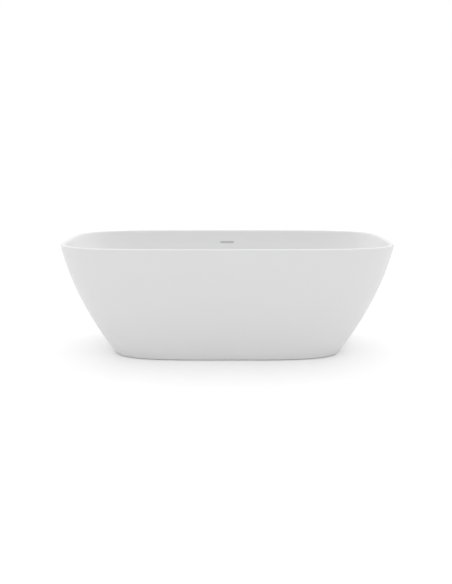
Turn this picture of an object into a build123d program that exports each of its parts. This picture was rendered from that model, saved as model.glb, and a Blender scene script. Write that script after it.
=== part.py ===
"""Freestanding double-skinned bathtub, in millimetres.

X runs along the tub, the back with the overflow is +Y, +Z is up, and the floor is z = 0 under the middle.
"""

from build123d import *
from math import atan2, cos, degrees, pi, radians, sin
import os

# Overall sizes.
TUB_LENGTH = 1700.0
TUB_WIDTH = 750.0
TUB_HEIGHT = 580.0
BASE_LENGTH = 1200.0
BASE_WIDTH = 596.0

# Outer skirt: how square its outline is, how far its walls belly out, and its sheet.
SKIRT_TOP_POWER = 4.3
SKIRT_BASE_POWER = 4.1
SKIRT_END_BOW = 36.0
SKIRT_SIDE_BOW = 12.0
SKIRT_WALL = 7.0
SKIRT_LIFT = 3.5
SKIRT_BASE_RADIUS = 5.0
HEM_WIDTH = 30.0
HEM_THICKNESS = 6.0

# Inner basin.
RIM_BAND = 24.0
RIM_THICKNESS = 6.0
RIM_RADIUS = 4.0
BASIN_WALL = 6.5
FLOOR_END_MARGIN = 10.0
FLOOR_SIDE_MARGIN = 66.0
BASIN_FLOOR_POWER = 3.4
BASIN_END_BOW = 18.0
BASIN_FLOOR_RADIUS = 70.0
BASIN_FLOOR_Z = 150.0
BASIN_FLOOR_THICKNESS = 20.0
FALL_END_MARGIN = 90.0
FALL_SIDE_MARGIN = 12.0
FALL_DEPTH = 7.0

# Frame under the basin.
BOARD_LENGTH = 900.0
BOARD_WIDTH = 370.0
BOARD_THICKNESS = 16.0
BOARD_CORNER = 40.0
WASTE_CUTOUT_RADIUS = 60.0
HOSE_CHANNEL_WIDTH = 48.0
BAR_SIZE = 25.0
BAR_WALL = 2.0
BAR_PLACES = (-400.0, 130.0, 400.0)
BAR_NAMES = ("left", "middle", "right")
BAR_END_GAP = 3.5
CAP_PLATE = 2.5
CAP_INSERT = 8.0
CAP_CLEARANCE = 0.2
BRACKET_WIDTH = 40.0
BRACKET_STRAP = 3.0
BRACKET_LEG = 23.0
BRACKET_BEND = 3.0

# Screws of the frame.
SCREW_RADIUS = 2.4
SCREW_CLEARANCE = 0.05
SCREW_HEAD_RADIUS = 4.5
SCREW_HEAD_HEIGHT = 2.8
BOARD_SCREW_BITE = 12.0
BOARD_SCREW_SETBACK = 33.4
BAR_SCREW_LENGTH = 11.0
HEM_SCREW_BITE = 5.0
SCREW_TIP_GAP = 0.2

# Adjustable feet, M12.
STUD_RADIUS = 5.95
STUD_CLEARANCE = 0.05
STUD_TOP_GAP = 6.0
STUD_FLATS = 19.0
STUD_HEX_LOW = 16.0
STUD_HEX_HEIGHT = 8.0
STUD_POCKET_FLOOR = 4.0
FOOT_INSET = 50.0
NUT_FLATS = 19.0
NUT_HEIGHT = 10.0
PAD_RADIUS = 25.0
PAD_EDGE = 5.0
PAD_NECK = 12.0
PAD_HEIGHT = 14.0

# Waste.
FLANGE_RADIUS = 36.0
FLANGE_THICKNESS = 5.5
FLANGE_CLEARANCE = 0.5
FLANGE_EDGE = 1.5
TOP_GASKET = 1.5
PLUG_SEAT_RADIUS = 32.4
PLUG_SEAT_DEPTH = 3.0
THROAT_RADIUS = 21.0
TAIL_RADIUS = 23.9
TAIL_CLEARANCE = 0.1
TAIL_LENGTH = 87.0
TAIL_PLAIN_RADIUS = 23.4
TAIL_PLAIN_LENGTH = 22.0
FLOOR_HOLE_RADIUS = 24.5
HUB_RADIUS = 12.0
HUB_THICKNESS = 6.0
HUB_DROP = 21.0
SPOKE_WIDTH = 3.0
WINDOW_WIDTH = 14.0
WINDOW_HEIGHT = 14.0
COLLAR_GASKET = 3.0
COLLAR_RADIUS = 35.0
COLLAR_HEIGHT = 34.0
CHAMBER_RADIUS = 31.0
CHAMBER_LIP = 4.0
LOWER_GASKET = 2.0
GASKET_RADIUS = 34.0
WASTE_NUT_RADIUS = 31.0
WASTE_NUT_HEIGHT = 10.0
WASTE_NUT_LUG = 3.5

# Plug and its click cartridge.
PLUG_TRAVEL = 8.0
PLUG_RADIUS = 32.0
PLUG_EDGE = 1.5
PLUG_DOME = 5.0
PLUG_BOSS_RADIUS = 8.0
PLUG_BOSS_HEIGHT = 8.0
SEAL_THICKNESS = 2.0
SEAL_SETBACK = 0.5
STEM_RADIUS = 4.0
STEM_CLEARANCE = 0.1
PISTON_RADIUS = 6.5
PISTON_HEIGHT = 6.0
CARTRIDGE_RADIUS = 9.0
CARTRIDGE_CLEARANCE = 0.05
CARTRIDGE_BORE = 7.0
CARTRIDGE_SHOULDER = 11.0
CARTRIDGE_SHOULDER_HEIGHT = 2.0
CARTRIDGE_ABOVE_HUB = 6.0
CARTRIDGE_BELOW_HUB = 28.0
CARTRIDGE_END = 2.0
SPRING_RADIUS = 5.0
SPRING_WIRE = 0.8
SPRING_LENGTH = 14.0
SPRING_TURNS = 6.0

# Overflow.
SLOT_BELOW_RIM = 68.0
SLOT_LENGTH = 78.0
SLOT_HEIGHT = 10.4
SLOT_CLEARANCE = 0.1
SLOT_CORNER = 2.0
TRIM_LIP = 1.0
TRIM_LIP_THICKNESS = 0.8
TRIM_WALL = 1.0
TRIM_DEPTH = 11.0
BAFFLE_HEIGHT = 5.6
BAFFLE_SETBACK = 1.2
BAFFLE_THICKNESS = 1.2
OVERFLOW_GASKET = 2.5
HOUSING_HALF_LENGTH = 52.0
HOUSING_TOP = 13.0
HOUSING_BOTTOM = 22.0
HOUSING_DEPTH = 15.5
HOUSING_WALL = 2.0
HOUSING_CAVITY_HALF = 40.5
EAR_THICKNESS = 3.0
EAR_SCREW_X = 46.0
EAR_SCREW_RADIUS = 2.0
EAR_SCREW_BITE = 2.8
SPIGOT_RADIUS = 11.0
SPIGOT_BORE = 8.5
SPIGOT_DEPTH = 20.5
SPIGOT_LENGTH = 26.0
HOSE_OUTER = 13.0
HOSE_BORE = 11.05
HOSE_OVERLAP = 18.0
HOSE_BEND = 90.0
INLET_DROP = 17.0
INLET_REACH = 75.0
CLAMP_BAND = 0.9
CLAMP_WIDTH = 9.0
CLAMP_BLOCK = 8.0
CLAMP_FROM_END = 9.0

# An outline is drawn as this many spline arcs, each through this many steps.
OUTLINE_ARCS = 8
OUTLINE_STEPS = 6
LOFT_LEVELS = 5

# Lengths and widths that follow from the sizes above.
BASIN_FLOOR_LENGTH = BASE_LENGTH - 2 * FLOOR_END_MARGIN
BASIN_FLOOR_WIDTH = BASE_WIDTH - 2 * FLOOR_SIDE_MARGIN
FALL_LENGTH = BASIN_FLOOR_LENGTH - 2 * (BASIN_FLOOR_RADIUS + FALL_END_MARGIN)
FALL_WIDTH = BASIN_FLOOR_WIDTH - 2 * (BASIN_FLOOR_RADIUS + FALL_SIDE_MARGIN)

# Heights that follow from the sizes above.
SKIRT_TOP = TUB_HEIGHT - RIM_THICKNESS
HEM_TOP = SKIRT_LIFT + HEM_THICKNESS
FLOOR_UNDERSIDE = BASIN_FLOOR_Z - BASIN_FLOOR_THICKNESS
DRAIN_Z = BASIN_FLOOR_Z - FALL_DEPTH
RECESS_Z = DRAIN_Z - FLANGE_THICKNESS - TOP_GASKET
TAIL_END = DRAIN_Z - TAIL_LENGTH
BAR_TOP = FLOOR_UNDERSIDE - BOARD_THICKNESS
BAR_BOTTOM = BAR_TOP - BAR_SIZE
STUD_TOP = BAR_TOP - STUD_TOP_GAP
COLLAR_TOP = FLOOR_UNDERSIDE - COLLAR_GASKET
COLLAR_BOTTOM = COLLAR_TOP - COLLAR_HEIGHT
WASTE_NUT_TOP = COLLAR_BOTTOM - LOWER_GASKET
SEAT_Z = DRAIN_Z - PLUG_SEAT_DEPTH
PLUG_UNDERSIDE = SEAT_Z + SEAL_THICKNESS
HUB_TOP = DRAIN_Z - HUB_DROP
CARTRIDGE_LOW = HUB_TOP - CARTRIDGE_BELOW_HUB - CARTRIDGE_END - 4.0
CARTRIDGE_HIGH = HUB_TOP + CARTRIDGE_ABOVE_HUB
SPRING_LOW = CARTRIDGE_LOW + CARTRIDGE_END
PISTON_LOW = SPRING_LOW + SPRING_LENGTH
INLET_Z = FLOOR_UNDERSIDE - INLET_DROP
TIP = SCREW_RADIUS + SCREW_CLEARANCE


def between(low, high, share):
    """The value at a share of the way from low to high."""
    return low + (high - low) * share


def station(half_x, half_y, power, inset, turn):
    """One point of an inset superellipse and the way the outline runs there."""
    c, s = round(cos(radians(turn)), 12), round(sin(radians(turn)), 12)
    reach = (abs(c) ** power + abs(s) ** power) ** (-1 / power)
    x, y = half_x * reach * c, half_y * reach * s
    across = abs(x / half_x) ** (power - 1) / half_x * (1 if x >= 0 else -1)
    along = abs(y / half_y) ** (power - 1) / half_y * (1 if y >= 0 else -1)
    outward = Vector(across, along).normalized()
    return Vector(x, y) - outward * inset, Vector(-outward.Y, outward.X)


def section_face(z, half_x, half_y, power, inset):
    """The flat face inside an inset superellipse at height z.

    It is made outside a BuildLine, which would join its arcs into one edge with a seam.
    """
    span = 360 / OUTLINE_ARCS
    arcs = []
    for arc in range(OUTLINE_ARCS):
        turns = [span * (arc + step / OUTLINE_STEPS) for step in range(OUTLINE_STEPS + 1)]
        stations = [station(half_x, half_y, power, inset, turn) for turn in turns]
        points = [point + Vector(0, 0, z) for point, _ in stations]
        arcs.append(Spline(*points, tangents=(stations[0][1], stations[-1][1])))
    return Face(Wire(arcs))


def skirt_section(z, inset=0.0):
    """The skirt's outline at height z, moved inward by inset; the rim band above it is upright."""
    share = max(SKIRT_TOP - z, 0.0) / SKIRT_TOP
    belly = 4 * share * (1 - share)
    return (
        between(TUB_LENGTH, BASE_LENGTH, share) / 2 + SKIRT_END_BOW * belly,
        between(TUB_WIDTH, BASE_WIDTH, share) / 2 + SKIRT_SIDE_BOW * belly,
        between(SKIRT_TOP_POWER, SKIRT_BASE_POWER, share),
        inset,
    )


def basin_section(z, outset=0.0):
    """The basin's inner outline at height z, moved outward by outset."""
    share = (TUB_HEIGHT - z) / (TUB_HEIGHT - BASIN_FLOOR_Z)
    belly = 4 * share * (1 - share)
    return (
        between(TUB_LENGTH, BASIN_FLOOR_LENGTH, share) / 2 + BASIN_END_BOW * belly,
        between(TUB_WIDTH, BASIN_FLOOR_WIDTH, share) / 2,
        between(SKIRT_TOP_POWER, BASIN_FLOOR_POWER, share),
        between(RIM_BAND, 0.0, share) - outset,
    )


def faces_between(section, low, high, offset, levels=LOFT_LEVELS):
    """The section faces that a loft from low to high goes through."""
    heights = [between(low, high, level / (levels - 1)) for level in range(levels)]
    return [section_face(z, *section(z, offset)) for z in heights]


def skirt_side_y(x, z, inset):
    """How far out in Y the skirt's outline, moved inward by inset, lies at x."""
    half_x, half_y, power, _ = skirt_section(z)
    low, high = 45.0, 90.0
    for _ in range(40):
        middle = (low + high) / 2
        if station(half_x, half_y, power, inset, middle)[0].X > x:
            low = middle
        else:
            high = middle
    return station(half_x, half_y, power, inset, high)[0].Y


def basin_back_y(z):
    """The Y of the basin's inner wall at the middle of its back."""
    _, half_y, _, inset = basin_section(z)
    return half_y - inset


BAR_HALF = (
    skirt_side_y(max(map(abs, BAR_PLACES)) + BRACKET_WIDTH / 2, SKIRT_LIFT, HEM_WIDTH)
    - BRACKET_STRAP
    - BAR_END_GAP
)
FOOT_Y = BAR_HALF - FOOT_INSET
FOOT_SPOTS = [(x, side * FOOT_Y) for x in BAR_PLACES for side in (-1, 1)]
BRACKET_SPOTS = [(x, side) for x in BAR_PLACES for side in (-1, 1)]
LEG_SCREW_Y = BAR_HALF - BRACKET_LEG / 2
BOARD_SCREW_YS = [share * (FOOT_Y - BOARD_SCREW_SETBACK) for share in (-1, -0.5, 0.5, 1)]
BOARD_SCREW_SPOTS = [(x, y) for x in BAR_PLACES for y in BOARD_SCREW_YS]

# The overflow lies in a frame of its own on the basin's back wall, with Z out into the basin.
SLOT_Z = TUB_HEIGHT - SLOT_BELOW_RIM
SLOT_TILT = atan2(basin_back_y(SLOT_Z + 10) - basin_back_y(SLOT_Z - 10), 20.0)
SLOT_PLANE = Plane(
    origin=(0, basin_back_y(SLOT_Z), SLOT_Z),
    x_dir=(1, 0, 0),
    z_dir=(0, -cos(SLOT_TILT), sin(SLOT_TILT)),
)
WALL_BACK = -BASIN_WALL * cos(SLOT_TILT)
GASKET_BACK = WALL_BACK - OVERFLOW_GASKET
SPIGOT_LINE = WALL_BACK - (SPIGOT_DEPTH - BASIN_WALL)


def hem_screw_y(x):
    """How far out in Y a bracket's lower screw stands: the middle of the hem."""
    outer = skirt_side_y(abs(x), SKIRT_LIFT, SKIRT_WALL)
    inner = skirt_side_y(abs(x), SKIRT_LIFT, HEM_WIDTH)
    return (outer + inner) / 2


def save(builder, name):
    """Label a finished piece and write its STEP file."""
    builder.part.label = name
    export_step(builder.part, f"parts/{name}.step")


def make_outer_skirt():
    """The bellied outer shell with the hem that it is fixed by."""
    outside = faces_between(skirt_section, SKIRT_LIFT, SKIRT_TOP, 0.0)
    inside = faces_between(skirt_section, HEM_TOP, SKIRT_TOP, SKIRT_WALL)
    opening = faces_between(skirt_section, SKIRT_LIFT, HEM_TOP, HEM_WIDTH, 2)
    with BuildPart() as outer_skirt:
        loft(outside, clean=False)
        fillet(outer_skirt.edges().group_by(Axis.Z)[0], SKIRT_BASE_RADIUS)
        loft(inside, clean=False, mode=Mode.SUBTRACT)
        loft(opening, clean=False, mode=Mode.SUBTRACT)
        for x, side in BRACKET_SPOTS:
            with Locations((x, side * hem_screw_y(x), HEM_TOP)):
                Cylinder(TIP, 2 * (HEM_SCREW_BITE + SCREW_TIP_GAP), mode=Mode.SUBTRACT)
    save(outer_skirt, "outer_skirt")


def make_basin_outside():
    """The solid inside the basin's outer face, below the rim band."""
    sections = faces_between(basin_section, FLOOR_UNDERSIDE, SKIRT_TOP, BASIN_WALL)
    with BuildPart() as basin_outside:
        loft(sections, clean=False)
        underside = basin_outside.edges().group_by(Axis.Z)[0]
        fillet(underside, BASIN_FLOOR_RADIUS + BASIN_WALL)
    return basin_outside.part


def make_inner_basin(basin_outside):
    """The bathing shell: rim band, walls, floor with its fall, drain recess and overflow slot."""
    band = faces_between(skirt_section, SKIRT_TOP, TUB_HEIGHT, 0.0, 2)
    water = faces_between(basin_section, BASIN_FLOOR_Z, TUB_HEIGHT, 0.0)
    with BuildPart(mode=Mode.PRIVATE) as well:
        loft(water, clean=False)
        fillet(well.edges().group_by(Axis.Z)[0], BASIN_FLOOR_RADIUS)
    with BuildPart() as inner_basin:
        add(basin_outside, clean=False)
        loft(band, clean=False)
        add(well.part, mode=Mode.SUBTRACT, clean=False)
        # The fall runs from an oval down to the flat that the waste lies in.
        with BuildSketch(Plane.XY.offset(BASIN_FLOOR_Z)) as fall_top:
            Ellipse(FALL_LENGTH / 2, FALL_WIDTH / 2)
        with BuildSketch(Plane.XY.offset(DRAIN_Z)) as fall_foot:
            Circle(FLANGE_RADIUS + 9.0)
        loft(mode=Mode.SUBTRACT, clean=False)
        with BuildSketch(Plane.XY.offset(RECESS_Z)):
            Circle(FLANGE_RADIUS + FLANGE_CLEARANCE)
        extrude(amount=BASIN_FLOOR_Z - RECESS_Z, mode=Mode.SUBTRACT, clean=False)
        with BuildSketch(Plane.XY.offset(FLOOR_UNDERSIDE)):
            Circle(FLOOR_HOLE_RADIUS)
        extrude(amount=BASIN_FLOOR_THICKNESS, mode=Mode.SUBTRACT, clean=False)
        # The overflow slot, and the blind holes that its housing is screwed into from behind.
        with BuildSketch(SLOT_PLANE.offset(WALL_BACK - 5)):
            RectangleRounded(
                SLOT_LENGTH + 2 * SLOT_CLEARANCE,
                SLOT_HEIGHT + 2 * SLOT_CLEARANCE,
                SLOT_CORNER,
            )
        extrude(amount=BASIN_WALL + 10, mode=Mode.SUBTRACT, clean=False)
        with BuildSketch(SLOT_PLANE.offset(WALL_BACK + EAR_SCREW_BITE + SCREW_TIP_GAP)):
            with Locations((-EAR_SCREW_X, 0), (EAR_SCREW_X, 0)):
                Circle(EAR_SCREW_RADIUS + SCREW_CLEARANCE)
        extrude(amount=-10, mode=Mode.SUBTRACT, clean=False)
        top_edges = inner_basin.edges().group_by(Axis.Z)[-1]
        fillet(top_edges, RIM_RADIUS)
    save(inner_basin, "inner_basin")


def make_base_board():
    """The board under the basin's floor, cut out for the waste and its hose."""
    with BuildPart() as base_board:
        with BuildSketch(Plane.XY.offset(BAR_TOP)):
            RectangleRounded(BOARD_LENGTH, BOARD_WIDTH, BOARD_CORNER)
            Circle(WASTE_CUTOUT_RADIUS, mode=Mode.SUBTRACT)
            with Locations((0, BOARD_WIDTH / 2)):
                Rectangle(HOSE_CHANNEL_WIDTH, BOARD_WIDTH, mode=Mode.SUBTRACT)
        extrude(amount=BOARD_THICKNESS)
        with BuildSketch(Plane.XY.offset(BAR_TOP)):
            with Locations(*BOARD_SCREW_SPOTS):
                Circle(TIP)
        extrude(amount=BOARD_SCREW_BITE + SCREW_TIP_GAP, mode=Mode.SUBTRACT)
    save(base_board, "base_board")


def make_support_bar(name, x):
    """One square tube across the tub, drilled for its feet, its brackets and the board."""
    with BuildPart() as support_bar:
        with BuildSketch(Plane.XZ.offset(-BAR_HALF)):
            with Locations((x, BAR_TOP - BAR_SIZE / 2)):
                RectangleRounded(BAR_SIZE, BAR_SIZE, BAR_WALL + 1)
                inner = BAR_SIZE - 2 * BAR_WALL
                RectangleRounded(inner, inner, 1.0, mode=Mode.SUBTRACT)
        extrude(amount=2 * BAR_HALF)
        with BuildSketch(Plane.XY.offset(BAR_BOTTOM)):
            with Locations((x, -FOOT_Y), (x, FOOT_Y)):
                Circle(STUD_RADIUS + STUD_CLEARANCE)
            with Locations((x, -LEG_SCREW_Y), (x, LEG_SCREW_Y)):
                Circle(TIP)
        extrude(amount=BAR_SIZE / 2, mode=Mode.SUBTRACT)
        with BuildSketch(Plane.XY.offset(BAR_BOTTOM)):
            with Locations(*[(x, y) for y in BOARD_SCREW_YS]):
                Circle(TIP)
        extrude(amount=BAR_SIZE, mode=Mode.SUBTRACT)
    save(support_bar, name)


def make_bar_end_caps():
    """The plastic plugs in the six bar ends."""
    middle = BAR_TOP - BAR_SIZE / 2
    insert = BAR_SIZE - 2 * BAR_WALL - 2 * CAP_CLEARANCE
    with BuildPart() as bar_end_caps:
        for x, side in BRACKET_SPOTS:
            face = Plane((x, side * BAR_HALF, middle), x_dir=(1, 0, 0), z_dir=(0, side, 0))
            with BuildSketch(face):
                RectangleRounded(BAR_SIZE, BAR_SIZE, BAR_WALL + 1)
            extrude(amount=CAP_PLATE)
            with BuildSketch(face):
                RectangleRounded(insert, insert, 2.0)
            extrude(amount=-CAP_INSERT)
    save(bar_end_caps, "bar_end_caps")


def make_screw(place, direction, shank, head_radius=SCREW_HEAD_RADIUS, radius=SCREW_RADIUS):
    """A pan-head screw whose head seats at place and whose shank points along direction."""
    seat = Plane(place, x_dir=(1, 0, 0), z_dir=direction)
    with BuildPart(mode=Mode.PRIVATE) as screw:
        with BuildSketch(seat):
            Circle(radius)
        extrude(amount=shank)
        chamfer(screw.edges().sort_by(seat_axis(seat))[-1], radius * 0.6)
        with BuildSketch(seat):
            Circle(head_radius)
        extrude(amount=-SCREW_HEAD_HEIGHT)
        fillet(screw.edges().sort_by(seat_axis(seat))[0], SCREW_HEAD_HEIGHT * 0.45)
    return screw.part


def seat_axis(plane):
    """The axis that stands on a plane."""
    return Axis(plane.origin, plane.z_dir)


def make_board_screws():
    """The screws up through the bars into the board."""
    screws = [
        make_screw((x, y, BAR_BOTTOM), (0, 0, 1), BAR_SIZE + BOARD_SCREW_BITE)
        for x, y in BOARD_SCREW_SPOTS
    ]
    with BuildPart() as board_screws:
        add(screws)
    save(board_screws, "board_screws")


def make_skirt_bracket(name, x, side):
    """The bent strap from a bar's end down to the hem of the skirt."""
    toe = hem_screw_y(x) + 5.0
    outline = [
        (BAR_HALF - BRACKET_LEG, BAR_BOTTOM),
        (BAR_HALF + BRACKET_STRAP, BAR_BOTTOM),
        (BAR_HALF + BRACKET_STRAP, HEM_TOP + BRACKET_STRAP),
        (toe, HEM_TOP + BRACKET_STRAP),
        (toe, HEM_TOP),
        (BAR_HALF, HEM_TOP),
        (BAR_HALF, BAR_BOTTOM - BRACKET_STRAP),
        (BAR_HALF - BRACKET_LEG, BAR_BOTTOM - BRACKET_STRAP),
    ]
    with BuildPart() as skirt_bracket:
        with BuildSketch(Plane.YZ.offset(x - BRACKET_WIDTH / 2)) as strap:
            with BuildLine():
                Polyline(*[(side * y, z) for y, z in outline], close=True)
            make_face()
            bends = [(BAR_HALF + BRACKET_STRAP, BAR_BOTTOM), (BAR_HALF, HEM_TOP)]
            for y, z in bends:
                corner = strap.vertices().sort_by_distance((side * y, z, 0))[0]
                fillet(corner, BRACKET_BEND)
        extrude(amount=BRACKET_WIDTH)
        with BuildSketch(Plane.XY.offset(HEM_TOP)):
            with Locations((x, side * hem_screw_y(x))):
                Circle(TIP)
        extrude(amount=BRACKET_STRAP, mode=Mode.SUBTRACT)
        with BuildSketch(Plane.XY.offset(BAR_BOTTOM)):
            with Locations((x, side * LEG_SCREW_Y)):
                Circle(TIP)
        extrude(amount=-BRACKET_STRAP, mode=Mode.SUBTRACT)
    save(skirt_bracket, name)


def make_bracket_screws():
    """One screw up into each bar end and one down into the hem below it."""
    screws = []
    for x, side in BRACKET_SPOTS:
        under_bar = (x, side * LEG_SCREW_Y, BAR_BOTTOM - BRACKET_STRAP)
        screws.append(make_screw(under_bar, (0, 0, 1), BAR_SCREW_LENGTH))
        on_hem = (x, side * hem_screw_y(x), HEM_TOP + BRACKET_STRAP)
        screws.append(make_screw(on_hem, (0, 0, -1), BRACKET_STRAP + HEM_SCREW_BITE))
    with BuildPart() as bracket_screws:
        add(screws)
    save(bracket_screws, "bracket_screws")


def make_nuts(name, top):
    """Six hexagon nuts, one round each stud, with their upper faces at top."""
    with BuildPart() as nuts:
        with BuildSketch(Plane.XY.offset(top - NUT_HEIGHT)):
            with Locations(*FOOT_SPOTS):
                RegularPolygon(NUT_FLATS / 2, 6, major_radius=False)
                Circle(STUD_RADIUS + STUD_CLEARANCE, mode=Mode.SUBTRACT)
        extrude(amount=NUT_HEIGHT)
    save(nuts, name)


def make_foot_stud(name, x, y):
    """A threaded foot with the hexagon that it is turned by."""
    with BuildPart() as foot_stud:
        with BuildSketch(Plane.XY.offset(STUD_POCKET_FLOOR)):
            with Locations((x, y)):
                Circle(STUD_RADIUS)
        extrude(amount=STUD_TOP - STUD_POCKET_FLOOR)
        chamfer(foot_stud.edges().sort_by(Axis.Z)[-1], 1.0)
        with BuildSketch(Plane.XY.offset(STUD_HEX_LOW)):
            with Locations((x, y)):
                RegularPolygon(STUD_FLATS / 2, 6, major_radius=False)
        extrude(amount=STUD_HEX_HEIGHT)
    save(foot_stud, name)


def make_foot_pad(name, x, y):
    """The round pad that the stud turns in."""
    pocket = STUD_RADIUS + STUD_CLEARANCE
    floor = STUD_POCKET_FLOOR - STUD_CLEARANCE
    with BuildPart() as foot_pad:
        with BuildSketch(Plane((x, y, 0), x_dir=(1, 0, 0), z_dir=(0, -1, 0))):
            with BuildLine():
                Polyline(
                    (0, 0),
                    (PAD_RADIUS - 1.5, 0),
                    (PAD_RADIUS, 1.5),
                    (PAD_RADIUS, PAD_EDGE),
                    (PAD_NECK, PAD_HEIGHT - 3),
                    (PAD_NECK, PAD_HEIGHT),
                    (pocket, PAD_HEIGHT),
                    (pocket, floor),
                    (0, floor),
                    close=True,
                )
            make_face()
        revolve(axis=Axis((x, y, 0), (0, 0, 1)))
    save(foot_pad, name)


def make_waste_flange():
    """The plated waste: seat for the plug, tail, cross for the cartridge and overflow windows."""
    with BuildPart() as waste_flange:
        with BuildSketch(Plane.XZ):
            with BuildLine():
                Polyline(
                    (THROAT_RADIUS, TAIL_END),
                    (TAIL_PLAIN_RADIUS, TAIL_END),
                    (TAIL_PLAIN_RADIUS, TAIL_END + TAIL_PLAIN_LENGTH),
                    (TAIL_RADIUS, TAIL_END + TAIL_PLAIN_LENGTH),
                    (TAIL_RADIUS, DRAIN_Z - FLANGE_THICKNESS),
                    (FLANGE_RADIUS, DRAIN_Z - FLANGE_THICKNESS),
                    (FLANGE_RADIUS, DRAIN_Z - FLANGE_EDGE),
                    (FLANGE_RADIUS - FLANGE_EDGE, DRAIN_Z),
                    (PLUG_SEAT_RADIUS, DRAIN_Z),
                    (PLUG_SEAT_RADIUS, SEAT_Z),
                    (THROAT_RADIUS, SEAT_Z),
                    close=True,
                )
            make_face()
        revolve(axis=Axis.Z)
        with BuildSketch(Plane.XY.offset(HUB_TOP - HUB_THICKNESS)):
            Circle(HUB_RADIUS)
            Rectangle(2 * THROAT_RADIUS + 1, SPOKE_WIDTH)
            Rectangle(SPOKE_WIDTH, 2 * THROAT_RADIUS + 1)
            Circle(CARTRIDGE_RADIUS + CARTRIDGE_CLEARANCE, mode=Mode.SUBTRACT)
        extrude(amount=HUB_THICKNESS)
        windows = PolarLocations((THROAT_RADIUS + TAIL_RADIUS) / 2, 4, start_angle=45)
        with BuildSketch(Plane.XY.offset(INLET_Z - WINDOW_HEIGHT / 2)):
            with windows:
                Rectangle(2 * (TAIL_RADIUS - THROAT_RADIUS), WINDOW_WIDTH)
        extrude(amount=WINDOW_HEIGHT, mode=Mode.SUBTRACT)
    save(waste_flange, "waste_flange")


def make_gasket(name, low, thickness, outer):
    """A flat rubber ring round the tail."""
    with BuildPart() as gasket:
        with BuildSketch(Plane.XY.offset(low)):
            Circle(outer)
            Circle(TAIL_RADIUS + TAIL_CLEARANCE, mode=Mode.SUBTRACT)
        extrude(amount=thickness)
    save(gasket, name)


def make_overflow_collar():
    """The ring chamber round the waste that the overflow hose runs into."""
    with BuildPart() as overflow_collar:
        with BuildSketch(Plane.XY.offset(COLLAR_BOTTOM)):
            Circle(COLLAR_RADIUS)
        extrude(amount=COLLAR_HEIGHT)
        with BuildSketch(Plane.XZ.offset(-INLET_REACH)):
            with Locations((0, INLET_Z)):
                Circle(SPIGOT_RADIUS)
        extrude(amount=INLET_REACH)
        with BuildSketch(Plane.XY.offset(COLLAR_BOTTOM + CHAMBER_LIP)):
            Circle(CHAMBER_RADIUS)
        extrude(amount=COLLAR_HEIGHT - 2 * CHAMBER_LIP, mode=Mode.SUBTRACT)
        with BuildSketch(Plane.XZ.offset(-INLET_REACH)):
            with Locations((0, INLET_Z)):
                Circle(SPIGOT_BORE)
        extrude(amount=INLET_REACH, mode=Mode.SUBTRACT)
        with BuildSketch(Plane.XY.offset(COLLAR_BOTTOM)):
            Circle(TAIL_RADIUS + TAIL_CLEARANCE)
        extrude(amount=COLLAR_HEIGHT, mode=Mode.SUBTRACT)
    save(overflow_collar, "overflow_collar")


def make_waste_nut():
    """The lugged backnut that clamps the waste to the floor."""
    with BuildPart() as waste_nut:
        with BuildSketch(Plane.XY.offset(WASTE_NUT_TOP - WASTE_NUT_HEIGHT)):
            Circle(WASTE_NUT_RADIUS)
            with PolarLocations(WASTE_NUT_RADIUS, 8):
                Circle(WASTE_NUT_LUG)
            Circle(TAIL_RADIUS + TAIL_CLEARANCE, mode=Mode.SUBTRACT)
        extrude(amount=WASTE_NUT_HEIGHT)
    save(waste_nut, "waste_nut")


def make_plug_cap():
    """The domed plug with the boss that the stem screws into."""
    edge_top = PLUG_UNDERSIDE + PLUG_EDGE
    with BuildPart() as plug_cap:
        with BuildSketch(Plane.XZ):
            with BuildLine():
                dome = ThreePointArc(
                    (0, PLUG_UNDERSIDE + PLUG_DOME),
                    (PLUG_RADIUS * 0.55, PLUG_UNDERSIDE + PLUG_DOME * 0.79),
                    (PLUG_RADIUS, edge_top),
                )
                Polyline(
                    dome @ 1,
                    (PLUG_RADIUS, PLUG_UNDERSIDE),
                    (PLUG_BOSS_RADIUS, PLUG_UNDERSIDE),
                    (PLUG_BOSS_RADIUS, PLUG_UNDERSIDE - PLUG_BOSS_HEIGHT),
                    (STEM_RADIUS, PLUG_UNDERSIDE - PLUG_BOSS_HEIGHT),
                    (STEM_RADIUS, PLUG_UNDERSIDE),
                    (0, PLUG_UNDERSIDE),
                    dome @ 0,
                )
            make_face()
        revolve(axis=Axis.Z)
    save(plug_cap, "plug_cap")


def make_plug_seal():
    """The rubber disc under the plug, which closes on the waste's seat."""
    with BuildPart() as plug_seal:
        with BuildSketch(Plane.XY.offset(SEAT_Z)):
            Circle(PLUG_RADIUS - SEAL_SETBACK)
            Circle(PLUG_BOSS_RADIUS, mode=Mode.SUBTRACT)
        extrude(amount=SEAL_THICKNESS)
    save(plug_seal, "plug_seal")


def make_plug_stem():
    """The rod from the plug's boss down to the piston inside the cartridge."""
    with BuildPart() as plug_stem:
        with BuildSketch(Plane.XY.offset(PISTON_LOW)):
            Circle(PISTON_RADIUS)
        extrude(amount=PISTON_HEIGHT)
        with BuildSketch(Plane.XY.offset(PISTON_LOW)):
            Circle(STEM_RADIUS)
        extrude(amount=PLUG_UNDERSIDE - PISTON_LOW)
    save(plug_stem, "plug_stem")


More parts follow.
